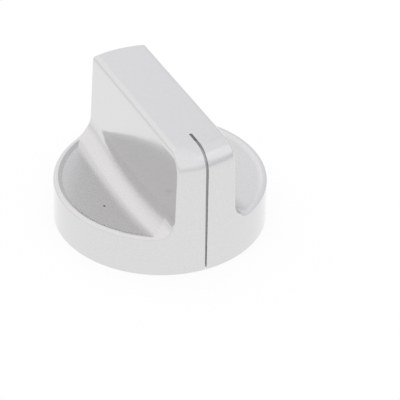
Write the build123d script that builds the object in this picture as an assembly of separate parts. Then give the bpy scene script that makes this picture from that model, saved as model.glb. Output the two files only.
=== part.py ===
from build123d import *
import math
import os

# Appliance control knob: a round skirt with a bar grip across it.
# Millimetres. The origin is the centre of the skirt's foot, +Z runs up
# the spindle axis, and the pointer end of the grip faces -Y.

# ---- outer form ------------------------------------------------------------
knob_radius = 22.5            # skirt at its foot
knob_height = 28.0            # foot to the flat top of the grip
side_draft = 1.5              # degrees, skirt and grip ends lean in
nose_radius = 4.4             # top of the pointer end
heel_radius = 1.4             # top of the other end
edge_radius = 0.65            # the two long edges of the grip's top

# ---- grip ------------------------------------------------------------------
grip_top_width = 12.2         # between the side walls, at the top
wall_draft = 2.3              # degrees, side walls lean in
shoulder_width = 0.95         # the top's long edges start to fall this far in
shoulder_slope = 25.0         # degrees, down from the top
shoulder_radius = 1.3         # from that slope into the side wall
root_radius = 4.1             # hollow curve where a wall meets the rim

# ---- rim and the dished hollow inside it -----------------------------------
rim_height = 9.1              # top of the skirt
rim_width = 1.0               # flat top of the rim
rim_slope = 28.0              # degrees, from the flat top down to the hollow
dish_floor = 6.3              # lowest point of the hollow, on the axis
dish_radius = 90.0            # ball that the hollow is turned with
dish_root_radius = 4.6        # hollow curve where a wall meets it

# ---- pointer line ----------------------------------------------------------
pointer_top_run = 7.7         # along the top, in from the grip's end
pointer_offset = -0.38        # the line runs a little left of the middle
pointer_depth = 1.0
pointer_top_width = 0.62
pointer_foot_width = 0.4

# ---- underside -------------------------------------------------------------
shell_wall = 2.0              # skirt, roof and grip walls
inner_corner = 0.5            # least radius inside the shell
foot_chamfer = 0.2            # both edges of the skirt's foot
hub_radius = 6.0
hub_recess = 1.2              # hub's mouth sits above the foot
rib_wall = 1.3
rib_recess = 2.8              # ribs stop short of the foot
rib_angle = 35.0              # degrees off the X axis, one each way

# ---- spindle bore ----------------------------------------------------------
mouth_radius = 3.25           # round part at the hub's mouth
mouth_depth = 4.5
mouth_chamfer = 0.4
bore_radius = 3.05            # part with the flat, for a 6 mm spindle
bore_depth = 9.5
bore_flat = 1.6               # flat, from the axis

# ---- spring clip in the hub's slot -----------------------------------------
clip_width = 3.0
clip_thickness = 0.4
clip_length = 7.0
clip_spread = 1.9             # across both legs, at rest
clip_bend_radius = 0.35       # inside the hairpin bend
clip_bend_flat = 0.12         # straight across the top of the bend
clip_touch_height = 1.8       # where the spring leg stands furthest out
clip_knee_radius = 1.1
clip_lip = 0.5                # free end turned away from the spindle
slot_side_clearance = 0.1     # clip to slot, each side
slot_headroom = 0.6           # slot above the clip's bend
clip_grip = 0.12              # spring leg stands proud of the flat

margin = 5.0                  # how far cutting tools run past the part


def lean(height, draft):
    """How far a drafted face leans over a height."""
    return height * math.tan(math.radians(draft))


def side_radius(height):
    """Radius of the drafted side at a height."""
    return knob_radius - lean(height, side_draft)


def wall_offset(height):
    """Half the grip's width at a height."""
    return grip_top_width / 2 + lean(knob_height - height, wall_draft)


def half_plug(inset, bottom, edge):
    """Back half of the drafted round, drawn in by inset on every side."""
    top = knob_height - inset
    section = make_face(Polyline(
        (0, 0, bottom),
        (side_radius(bottom) - inset, 0, bottom),
        (side_radius(top) - inset, 0, top),
        (0, 0, top),
        close=True,
    ))
    upper = section.vertices().sort_by(Axis.X)[-2:].sort_by(Axis.Z)[-1]
    section = fillet(upper, edge)
    lower = section.vertices().sort_by(Axis.X)[-1]
    return revolve(chamfer(lower, foot_chamfer), Axis.Z, 180)


def plug(inset=0.0, bottom=0.0):
    """The round that the knob is cut from, with its nose and heel curves."""
    nose = max(nose_radius - inset, inner_corner)
    heel = max(heel_radius - inset, inner_corner)
    front = Rot(0, 0, 180) * half_plug(inset, bottom, nose)
    return front + half_plug(inset, bottom, heel)


def under_roof():
    """Everything below the skirt's roof, a cone that clears the hollow's ball.

    It touches the ball, less the wall, halfway out, and is thicker elsewhere.
    """
    ball = dish_radius + shell_wall
    touch = knob_radius / 2
    slope = math.asin(touch / ball)
    touch_height = dish_floor + dish_radius - ball * math.cos(slope)
    reach = knob_radius + margin
    section = make_face(Polyline(
        (0, 0, -margin),
        (reach, 0, -margin),
        (reach, 0, touch_height + (reach - touch) * math.tan(slope)),
        (0, 0, touch_height - touch * math.tan(slope)),
        close=True,
    ))
    return revolve(section, Axis.Z)


def over_rim():
    """Room beside the grip's +X wall and over its shoulder, from the rim up."""
    reach = knob_radius + margin
    top = knob_height + margin
    wall_top = wall_offset(knob_height)
    shoulder = (wall_top, 0, knob_height - lean(shoulder_width, shoulder_slope))
    slope_run = margin / math.tan(math.radians(shoulder_slope))
    section = make_face(Polyline(
        (wall_offset(rim_height), 0, rim_height),
        (reach, 0, rim_height),
        (reach, 0, top),
        (wall_top - shoulder_width - slope_run, 0, top),
        shoulder,
        close=True,
    ))
    section = fillet(section.vertices().sort_by_distance(shoulder)[0], shoulder_radius)
    root = section.vertices().sort_by(Axis.Z)[:2].sort_by(Axis.X)[0]
    return extrude(fillet(root, root_radius), amount=reach, dir=(0, 1, 0), both=True)


def over_dish():
    """Room beside the +X wall, down to the ball-turned floor.

    Wall and floor are both turned about the line through the ball's centre
    that stands square to the wall, so the root between them is too.
    """
    centre = Vector(0, 0, dish_floor + dish_radius)
    draft = math.radians(wall_draft)
    square = Vector(math.cos(draft), 0, math.sin(draft))
    down = Vector(math.sin(draft), 0, -math.cos(draft))
    near = wall_offset(centre.Z) * math.cos(draft)
    far = knob_radius + margin

    def at(out, below):
        return centre + square * out + down * below

    def on_ball(out):
        return at(out, math.sqrt(dish_radius**2 - out**2))

    top = dish_radius - (knob_height + margin - dish_floor)
    floor = ThreePointArc(on_ball(near), on_ball((near + far) / 2), on_ball(far))
    edges = Polyline(on_ball(far), at(far, top), at(near, top), on_ball(near))
    section = make_face(floor + edges)
    root = section.vertices().sort_by_distance(on_ball(near))[0]
    turned = Axis(centre, square)
    swing = math.degrees(math.asin((knob_radius + margin) / top))
    start = fillet(root, dish_root_radius).rotate(turned, -swing)
    return revolve(start, turned, 2 * swing)


def upright(radius, bottom, top):
    """Plain cylinder on the spindle axis between two heights."""
    standing = (Align.CENTER, Align.CENTER, Align.MIN)
    return Pos(0, 0, bottom) * Cylinder(radius, top - bottom, align=standing)


def inside_rim():
    """Room within the rim, whose inner edge slopes down to the hollow."""
    flat_end = side_radius(rim_height) - rim_width
    slope_run = (rim_height - dish_floor) / math.tan(math.radians(rim_slope))
    top = knob_height + margin
    section = make_face(Polyline(
        (0, 0, dish_floor),
        (flat_end - slope_run, 0, dish_floor),
        (flat_end, 0, rim_height),
        (flat_end, 0, top),
        (0, 0, top),
        close=True,
    ))
    return revolve(section, Axis.Z)


def side_hollow():
    """What is taken out on the +X side of the grip."""
    return over_rim() + (over_dish() & inside_rim())


def outside():
    """The knob's outer form, solid, with the top's long edges rounded."""
    hollow = side_hollow()
    form = plug() - hollow - mirror(hollow, Plane.YZ)
    top = form.faces().sort_by(Axis.Z)[-1]
    return fillet(top.edges().filter_by(Axis.Y), edge_radius)


def inside():
    """Room under the skirt's roof and up inside the grip."""
    low = -margin
    high = knob_height + margin
    core = make_face(Polyline(
        (wall_offset(low) - shell_wall, 0, low),
        (wall_offset(high) - shell_wall, 0, high),
        (shell_wall - wall_offset(high), 0, high),
        (shell_wall - wall_offset(low), 0, low),
        close=True,
    ))
    grip_room = extrude(core, amount=2 * knob_radius, dir=(0, 1, 0), both=True)
    return plug(shell_wall, low) & (under_roof() + grip_room)


def hub_and_ribs(room):
    """Hub column and four ribs, kept within the room they stand in."""
    column = upright(hub_radius, hub_recess, knob_height)
    rib_blank = Pos(0, 0, rib_recess) * Box(
        knob_radius,
        rib_wall,
        knob_height - rib_recess,
        align=(Align.MIN, Align.CENTER, Align.MIN),
    )
    ribs = [
        Rot(0, 0, side + turn) * rib_blank
        for side in (0, 180)
        for turn in (-rib_angle, rib_angle)
    ]
    return (column + ribs) & room


# heights along the bore, from the hub's mouth up
flat_start = hub_recess + mouth_depth
bore_end = flat_start + bore_depth

# the clip's back leg lies on the slot's back wall
slot_back = bore_flat - clip_grip + clip_spread
slot_ledge = slot_back - 2 * clip_thickness
clip_foot = flat_start + slot_side_clearance
clip_top = clip_foot + clip_length
spring_width = clip_width - 2 * clip_thickness - 4 * slot_side_clearance


def slot_part(width, front, back):
    """Slot of one width, open at the hub's mouth."""
    return Pos(0, front, hub_recess - margin) * Box(
        width + 2 * slot_side_clearance,
        back - front,
        clip_top + slot_headroom - hub_recess + margin,
        align=(Align.CENTER, Align.MIN, Align.MIN),
    )


def spindle_bore():
    """Round mouth, D-shaped bore above it and the clip's slot beside it."""
    mouth = upright(mouth_radius, hub_recess - margin, flat_start)
    bevel = Pos(0, 0, hub_recess) * Cone(
        mouth_radius + mouth_chamfer,
        mouth_radius,
        mouth_chamfer,
        align=(Align.CENTER, Align.CENTER, Align.MIN),
    )
    round_top = upright(bore_radius, flat_start, bore_end)
    beyond_flat = Pos(0, bore_flat, flat_start) * Box(
        2 * knob_radius,
        knob_radius,
        bore_depth,
        align=(Align.CENTER, Align.MIN, Align.MIN),
    )
    seat = slot_part(clip_width, slot_ledge, slot_back)
    window = slot_part(spring_width, 0, slot_back)
    return mouth + bevel + (round_top - beyond_flat) + seat + window


def pointer_line():
    """Narrow groove from the top, over the nose and down to the foot."""
    half_top = pointer_top_width / 2
    half_foot = pointer_foot_width / 2
    blade = make_face(Polyline(
        (half_foot, 0, 0),
        (half_top, 0, knob_height),
        (half_top, 0, knob_height + margin),
        (-half_top, 0, knob_height + margin),
        (-half_top, 0, knob_height),
        (-half_foot, 0, 0),
        (-half_foot, 0, -margin),
        (half_foot, 0, -margin),
        close=True,
    ))
    reach = knob_radius + margin
    long_blade = extrude(blade, amount=reach, dir=(0, -1, 0))
    start = side_radius(knob_height) - pointer_top_run
    beyond_start = Pos(0, -start, -margin) * Box(
        knob_radius,
        reach,
        knob_height + 3 * margin,
        align=(Align.CENTER, Align.MAX, Align.MIN),
    )
    line = Pos(pointer_offset, 0, 0) * (long_blade & beyond_start)
    return line - plug(pointer_depth, -2 * margin)


def foot_bevel():
    """Bevel round the inside of the skirt's foot."""
    inner_radius = side_radius(foot_chamfer) - shell_wall
    return Cone(
        inner_radius + foot_chamfer,
        inner_radius,
        foot_chamfer,
        align=(Align.CENTER, Align.CENTER, Align.MIN),
    )


def knob_body():
    room = inside()
    shell = outside() - room - foot_bevel()
    return shell + hub_and_ribs(room) - spindle_bore() - pointer_line()


def spindle_clip():
    """Hairpin of spring strip: wide back leg, narrow bowed spring leg."""
    half = clip_thickness / 2
    bend = clip_bend_radius + half
    back = slot_back - half
    front = back - 2 * bend - clip_bend_flat
    touch = bore_flat - clip_grip + half
    path = FilletPolyline(
        (back, clip_foot),
        (back, clip_top - half),
        (front, clip_top - half),
        (touch, clip_foot + clip_touch_height),
        (touch + clip_lip, clip_foot + half),
        radius=[bend, bend, clip_knee_radius],
    )
    strip = Plane.YZ * trace(path, clip_thickness)
    narrow = extrude(strip, amount=spring_width / 2, both=True)
    wide = extrude(strip, amount=clip_width / 2, both=True)
    behind_ledge = Pos(0, slot_ledge + slot_side_clearance, clip_foot - margin) * Box(
        2 * clip_width,
        knob_radius,
        knob_height,
        align=(Align.CENTER, Align.MIN, Align.MIN),
    )
    return narrow + (wide & behind_ledge)


if __name__ == "__main__":
    os.makedirs("parts", exist_ok=True)
    export_step(knob_body(), "parts/knob_body.step")
    export_step(spindle_clip(), "parts/spindle_clip.step")
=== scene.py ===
import math

import bmesh
import bpy
from mathutils import Matrix, Vector


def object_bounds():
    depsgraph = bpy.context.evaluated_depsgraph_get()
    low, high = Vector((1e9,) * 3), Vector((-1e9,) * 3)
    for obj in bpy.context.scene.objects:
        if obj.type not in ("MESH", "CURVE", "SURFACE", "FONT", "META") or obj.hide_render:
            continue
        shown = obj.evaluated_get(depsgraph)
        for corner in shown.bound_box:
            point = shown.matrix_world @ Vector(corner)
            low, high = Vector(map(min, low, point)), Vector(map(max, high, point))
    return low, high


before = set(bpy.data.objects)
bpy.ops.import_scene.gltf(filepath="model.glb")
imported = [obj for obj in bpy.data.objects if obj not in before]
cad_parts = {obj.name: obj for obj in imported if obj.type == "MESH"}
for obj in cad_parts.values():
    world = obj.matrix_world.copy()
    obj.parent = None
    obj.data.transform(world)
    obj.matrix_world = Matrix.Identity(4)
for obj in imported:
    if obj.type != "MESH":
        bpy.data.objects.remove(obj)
cad_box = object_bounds()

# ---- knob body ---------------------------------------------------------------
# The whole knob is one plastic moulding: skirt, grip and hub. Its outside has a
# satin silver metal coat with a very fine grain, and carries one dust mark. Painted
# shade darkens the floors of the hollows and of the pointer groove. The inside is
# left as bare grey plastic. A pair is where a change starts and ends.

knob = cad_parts["knob_body"]
knob_radius = cad_box[1][0]
knob_height = cad_box[1][2]
side_slope = 0.0262                       # the side leans in this much a metre
nose_radius = 0.0044

coat_silver = (0.65, 0.65, 0.65, 1.0)
coat_roughness = 0.125
hollow_roughness = 0.30
hollow_top = (0.0085, 0.0125)             # up from the foot
hollow_edge = (0.0206, 0.0212)            # out from the axis
# painted shade: the hollows' nearly level floors are coloured darker than the coat
dish_shade_silver = (0.60, 0.60, 0.60, 1.0)
dish_tilt = (0.93, 0.97)                  # upward part of the normal

grain_size = 0.00022
grain_swing = (0.3, 0.7)                  # of the noise, for these two shares
grain_tone = (0.965, 1.035)
grain_gloss = (0.85, 1.15)
coat_grain_height = 0.0000022
hollow_grain_height = 0.0000021

speck_black = (0.05, 0.05, 0.05, 1.0)
speck_place = (-0.01425, -0.00345, 0.0075)
speck_edge = (0.000182, 0.000338)         # from its middle

# painted shade: the pointer groove's floor is coloured darker than the coat
groove_shade_grey = (0.54, 0.54, 0.54, 1.0)
line_place = -0.00038
line_sides = (0.0004, 0.0005)             # to each side of the line's place
line_end = (-0.0138, -0.0136)             # on the grip's top
line_depth = 0.001
line_floor = (0.00003, 0.00007)           # above and below that depth

bare_grey = (0.30, 0.30, 0.31, 1.0)
bare_roughness = 0.45
bare_roof = (0.0062, 0.0064)              # under the skirt, up from the foot
bare_edge = (0.0208, 0.0212)              # and out from the axis
bare_sides = (0.0054, 0.0056)             # in the grip, from its middle
bare_depth = (0.0013, 0.0015)             # and in from its outside


def new_material(name):
    """Material with its surface shader and the object's own coordinates."""
    material = bpy.data.materials.new(name)
    material.use_nodes = True
    nodes = material.node_tree.nodes
    return material, nodes["Principled BSDF"], nodes.new("ShaderNodeTexCoord").outputs


def fill(sockets, values):
    """Give each socket its number or colour, or link it to another socket."""
    for socket, value in zip(sockets, values):
        if isinstance(value, bpy.types.NodeSocket):
            socket.id_data.links.new(value, socket)
        else:
            socket.default_value = value


def split(vector):
    """The X, Y and Z of a vector."""
    parts = vector.id_data.nodes.new("ShaderNodeSeparateXYZ")
    fill(parts.inputs, (vector,))
    return list(parts.outputs)


def combined(operation, *values):
    """One sum on values, each a socket or a number."""
    tree = next(value.id_data for value in values if isinstance(value, bpy.types.NodeSocket))
    maths = tree.nodes.new("ShaderNodeMath")
    maths.operation = operation
    fill(maths.inputs, values)
    return maths.outputs["Value"]


def product(first, second):
    """One value times another."""
    return combined("MULTIPLY", first, second)


def diagonal(first, second):
    """Long side of the right-angled triangle over two lengths."""
    return combined("SQRT", combined("ADD", product(first, first), product(second, second)))


def measured(operation, *vectors):
    """Number worked out from one or two vectors."""
    maths = vectors[0].id_data.nodes.new("ShaderNodeVectorMath")
    maths.operation = operation
    fill(maths.inputs, vectors)
    return maths.outputs["Value"]


def ranged(source, span, low, high):
    """Smooth step of a value, from low to high over the span."""
    step = source.id_data.nodes.new("ShaderNodeMapRange")
    step.interpolation_type = "SMOOTHSTEP"
    fill(step.inputs, (source, *span, low, high))
    return step.outputs["Result"]


def within(source, span):
    """1 below the span, 0 above it."""
    return ranged(source, span, 1.0, 0.0)


def beyond(source, span):
    """0 below the span, 1 above it."""
    return ranged(source, span, 0.0, 1.0)


def mixed(share, first, second):
    """First colour, or the second where the share is 1."""
    blend = share.id_data.nodes.new("ShaderNodeMix")
    blend.data_type = "RGBA"
    fill([blend.inputs[name] for name in ("Factor", "A", "B")], (share, first, second))
    return blend.outputs["Result"]


def noise(place, scale):
    """Fine noise on a set of coordinates."""
    texture = place.id_data.nodes.new("ShaderNodeTexNoise")
    fill([texture.inputs[name] for name in ("Vector", "Scale")], (place, scale))
    return texture.outputs["Fac"]


def depth_from_outside(from_axis, z):
    """How deep a point lies under the drafted side, the nose and the top."""
    side = combined("ADD", from_axis, product(z, side_slope))
    out = combined("MAXIMUM", combined("SUBTRACT", side, knob_radius - nose_radius), 0.0)
    up = combined("MAXIMUM", combined("SUBTRACT", z, knob_height - nose_radius), 0.0)
    return combined("SUBTRACT", nose_radius, diagonal(out, up))


def made_satin_silver():
    """Silver coat, glossy outside and duller in the hollows, with painted shade on the floors of
    the hollows and of the pointer groove, and bare inside.
    """
    material, shader, place = new_material("satin_silver_coat")
    tree = material.node_tree
    x, y, z = split(place["Object"])
    from_axis = diagonal(x, y)
    deep = depth_from_outside(from_axis, z)

    # the hollows beside the grip, and their nearly level floors, which are coloured darker as
    # painted shade
    hollow = product(within(z, hollow_top), within(from_axis, hollow_edge))
    shaded_dish = product(hollow, beyond(split(place["Normal"])[2], dish_tilt))

    # fine grain in the tone, the gloss and the height; the tone also carries the floors' painted
    # shade
    grain = noise(place["Object"], 1 / grain_size)
    mottle_and_dish_shade = tree.nodes.new("ShaderNodeVectorMath")
    mottle_and_dish_shade.operation = "SCALE"
    fill([mottle_and_dish_shade.inputs[name] for name in ("Vector", "Scale")],
         (mixed(shaded_dish, coat_silver, dish_shade_silver), ranged(grain, grain_swing, *grain_tone)))
    gloss = product(ranged(hollow, (0.0, 1.0), coat_roughness, hollow_roughness),
                    ranged(grain, grain_swing, *grain_gloss))
    height = ranged(hollow, (0.0, 1.0), coat_grain_height, hollow_grain_height)
    relief = tree.nodes.new("ShaderNodeBump")
    fill([relief.inputs[name] for name in ("Strength", "Distance", "Height")],
         (1.0, 1.0, product(grain, height)))

    # the dust mark, and painted shade darkening the floor of the pointer groove
    speck = within(measured("DISTANCE", place["Object"], speck_place), speck_edge)
    aside = combined("ABSOLUTE", combined("SUBTRACT", x, line_place))
    off_floor = combined("ABSOLUTE", combined("SUBTRACT", deep, line_depth))
    line = product(within(aside, line_sides), within(y, line_end))
    line = product(line, within(off_floor, line_floor))

    # the inside, which has no coat: under the skirt's roof and up in the grip
    under_roof = product(within(z, bare_roof), within(from_axis, bare_edge))
    in_grip = product(within(combined("ABSOLUTE", x), bare_sides), beyond(deep, bare_depth))
    bare = combined("MAXIMUM", under_roof, in_grip)

    tone = mixed(line, mottle_and_dish_shade.outputs["Vector"], groove_shade_grey)
    tone = mixed(speck, tone, speck_black)
    tone = mixed(bare, tone, bare_grey)
    metal = combined("SUBTRACT", 1.0, bare)
    roughness = ranged(bare, (0.0, 1.0), gloss, bare_roughness)
    fill([shader.inputs[name] for name in ("Base Color", "Metallic", "Roughness", "Normal")],
         (tone, metal, roughness, relief.outputs["Normal"]))
    return material


knob.data.materials.clear()
knob.data.materials.append(made_satin_silver())

# ---- spindle clip ------------------------------------------------------------
# A hairpin of spring strip in the hub's slot. Its narrow leg presses on the
# spindle's flat, and the wide leg sits behind the slot's ledges.

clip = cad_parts["spindle_clip"]
rolled_dark = (0.48, 0.48, 0.50, 1.0)
rolled_pale = (0.62, 0.62, 0.64, 1.0)
rolled_roughness = 0.32
line_scale = 9000.0
line_stretch = (1.0, 1.0, 0.04)


def made_spring_steel():
    """Rolled strip: bright steel with faint lines along its length."""
    material, shader, place = new_material("rolled_spring_steel")
    shader.inputs["Metallic"].default_value = 1.0
    shader.inputs["Roughness"].default_value = rolled_roughness
    stretch = material.node_tree.nodes.new("ShaderNodeMapping")
    fill([stretch.inputs[name] for name in ("Vector", "Scale")], (place["Object"], line_stretch))
    lines = noise(stretch.outputs["Vector"], line_scale)
    fill([shader.inputs["Base Color"]], [mixed(lines, rolled_dark, rolled_pale)])
    return material


clip.data.materials.clear()
clip.data.materials.append(made_spring_steel())

# ---- floor -------------------------------------------------------------------
# A sheet of white card that keeps the knob's soft shadow. It is lifted to white
# where it is seen, and the coat mirrors it bright near the knob and paler far off.

floor_size = 4.0
card_grey = (0.94, 0.94, 0.94, 1.0)
card_roughness = 0.9
floor_white = (0.995, 1.0, 0.998, 1.0)
seen_share = 0.88
mirror_near = 1.10
mirror_far = 0.96
mirror_fade = (0.05, 0.35)


def laid_floor():
    """Square sheet at the height of the knob's foot."""
    sheet = bmesh.new()
    bmesh.ops.create_grid(sheet, x_segments=1, y_segments=1, size=floor_size / 2)
    mesh = bpy.data.meshes.new("floor")
    sheet.to_mesh(mesh)
    sheet.free()
    floor = bpy.data.objects.new("floor", mesh)
    bpy.context.scene.collection.objects.link(floor)
    floor.location.z = cad_box[0][2]
    return floor


def made_white_card():
    """Card with its own shadow, under a glow that only seen and mirrored rays meet."""
    material, card, place = new_material("white_card")
    fill([card.inputs[name] for name in ("Base Color", "Roughness", "Specular IOR Level")],
         (card_grey, card_roughness, 0.0))
    nodes = material.node_tree.nodes
    rays = nodes.new("ShaderNodeLightPath").outputs
    seen, mirrored = rays["Is Camera Ray"], rays["Is Glossy Ray"]
    level = ranged(measured("LENGTH", place["Object"]), mirror_fade, mirror_near, mirror_far)
    glow = nodes.new("ShaderNodeEmission")
    fill(glow.inputs, (floor_white, combined("ADD", product(level, mirrored), seen)))
    share = combined("MAXIMUM", product(seen, seen_share), mirrored)
    blend = nodes.new("ShaderNodeMixShader")
    fill(blend.inputs, (share, card.outputs["BSDF"], glow.outputs["Emission"]))
    fill([nodes["Material Output"].inputs["Surface"]], [blend.outputs["Shader"]])
    return material


floor = laid_floor()
floor.data.materials.append(made_white_card())

# ---- tent --------------------------------------------------------------------
# An even white tent all round. It is a little darker at the horizon and low on
# the right, and one soft lamp stands high in front of the pointer end.

horizon_level = 0.97
roof_level = 1.135
roof_rise = (0.0, 0.38)
right_share = 0.87
right_start = (0.17, 0.52)
right_high_share = 0.94
right_high = (0.60, 0.85)
lamp_way = (0.586, -0.527, 0.616)
lamp_spread = (0.90, 0.985)
lamp_level = 0.17
warm_white = (1.01, 0.99, 1.0, 1.0)
cool_white = (0.993, 0.993, 1.014, 1.0)
cool_start = (-0.1, 0.25)

tent = bpy.data.worlds.new("tent")
bpy.context.scene.world = tent
tent.use_nodes = True
tent_nodes = tent.node_tree.nodes
way = tent_nodes.new("ShaderNodeTexCoord").outputs["Generated"]
to_right, _, upward = split(way)
right = combined(
    "MAXIMUM",
    ranged(to_right, right_start, 1.0, right_share),
    ranged(upward, right_high, right_share, right_high_share),
)
rise = ranged(upward, roof_rise, horizon_level, roof_level)
lamp = ranged(measured("DOT_PRODUCT", way, lamp_way), lamp_spread, 0.0, lamp_level)
level = combined("ADD", lamp, product(rise, right))
seen = tent_nodes.new("ShaderNodeLightPath").outputs["Is Camera Ray"]
tint = mixed(beyond(to_right, cool_start), warm_white, cool_white)
fill(tent_nodes["Background"].inputs, (tint, combined("MAXIMUM", level, seen)))

# ---- camera ------------------------------------------------------------------
# A long lens, looking down on the pointer end from the grip's left side. Nothing
# is out of focus.

camera_place = Vector((-0.12563, -0.26139, 0.21572))
camera_aim = Vector((0.00916, -0.00060, 0.0))
camera_roll = math.radians(1.723)
sensor_width = 36.0
lens_length = 153.88
nearest = 0.01

lens = bpy.data.cameras.new("camera")
lens.sensor_width = sensor_width
lens.lens = lens_length
lens.clip_start = nearest
camera = bpy.data.objects.new("camera", lens)
bpy.context.scene.collection.objects.link(camera)
turn = (camera_aim - camera_place).to_track_quat("-Z", "Y").to_matrix().to_4x4()
roll = Matrix.Rotation(camera_roll, 4, "Z")
camera.matrix_world = Matrix.Translation(camera_place) @ turn @ roll
bpy.context.scene.camera = camera
bpy.context.scene.view_settings.view_transform = "Standard"
